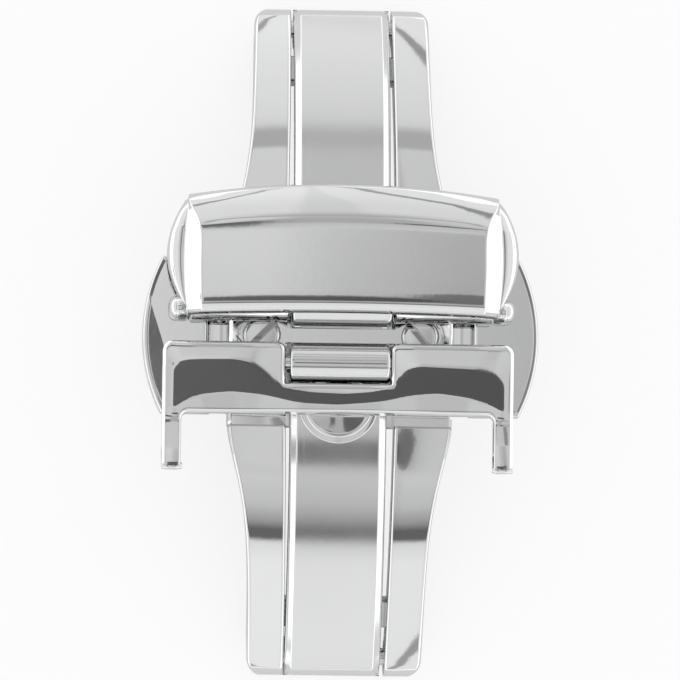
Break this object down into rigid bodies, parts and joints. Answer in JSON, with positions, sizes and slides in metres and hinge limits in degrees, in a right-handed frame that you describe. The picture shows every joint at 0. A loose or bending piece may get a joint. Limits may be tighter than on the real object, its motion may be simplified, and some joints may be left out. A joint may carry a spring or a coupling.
{
  "type": "deployant clasp",
  "caption": "Double fold butterfly clasp for an 18 mm watch strap: arched base, folding blades, hinged cover, pronged fork and squeeze buttons.",
  "frame": {"origin": "middle of the clasp, on the surface that its four rail tips stand on", "axes": "+Z away from the wrist, +Y along the strap towards the cover, +X across the strap"},
  "size_m": [0.023, 0.039, 0.0101],
  "materials": {
    "polished_steel": "mirror polished",
    "pin_steel": "turned and lightly polished",
    "spring_steel": "drawn wire"
  },
  "bodies": {
    "base": {"center_block": "polished_steel", "back_plate": "polished_steel", "upper_left_rail": "polished_steel", "upper_right_rail": "polished_steel", "lower_left_rail": "polished_steel", "lower_right_rail": "polished_steel", "upper_end_pin": "pin_steel", "lower_end_pin": "pin_steel", "upper_tie_bar": "polished_steel", "lower_tie_bar": "polished_steel", "left_block_screw": "pin_steel", "right_block_screw": "pin_steel", "left_guide_pins": "pin_steel", "right_guide_pins": "pin_steel", "left_upper_spring": "spring_steel", "left_lower_spring": "spring_steel", "right_upper_spring": "spring_steel", "right_lower_spring": "spring_steel"},
    "upper_wing": {"upper_blade": "polished_steel", "upper_catch_stud": "polished_steel"},
    "lower_wing": {"lower_blade": "polished_steel", "lower_catch_stud": "polished_steel"},
    "cover": {"cover": "polished_steel", "cover_hinge_pin": "pin_steel"},
    "fork": {"strap_fork": "polished_steel", "left_prong": "polished_steel", "right_prong": "polished_steel", "fork_hinge_pin": "pin_steel"},
    "left_button": {"left_button": "polished_steel"},
    "right_button": {"right_button": "polished_steel"}
  },
  "joints": [
    {"name": "upper_blade_hinge", "type": "hinge", "parent": "base", "child": "upper_wing", "pos_m": [0, 0.0184, 0.00115], "axis": [-1, 0, 0], "range_deg": [0, 150]},
    {"name": "lower_blade_hinge", "type": "hinge", "parent": "base", "child": "lower_wing", "pos_m": [0, -0.0184, 0.00115], "axis": [1, 0, 0], "range_deg": [0, 150]},
    {"name": "cover_hinge", "type": "hinge", "parent": "upper_wing", "child": "cover", "pos_m": [0, 0.00162, 0.00796], "axis": [1, 0, 0], "range_deg": [0, 75]},
    {"name": "fork_hinge", "type": "hinge", "parent": "lower_wing", "child": "fork", "pos_m": [0, -0.00162, 0.00796], "axis": [-1, 0, 0], "range_deg": [0, 75]},
    {"name": "left_button_press", "type": "slide", "parent": "base", "child": "left_button", "axis": [1, 0, 0], "range_m": [0, 0.0008], "stiffness_N_per_m": 200, "springref_m": -0.002, "deforming": ["left_upper_spring", "left_lower_spring"]},
    {"name": "right_button_press", "type": "slide", "parent": "base", "child": "right_button", "axis": [-1, 0, 0], "range_m": [0, 0.0008], "stiffness_N_per_m": 200, "springref_m": -0.002, "deforming": ["right_upper_spring", "right_lower_spring"]}
  ]
}
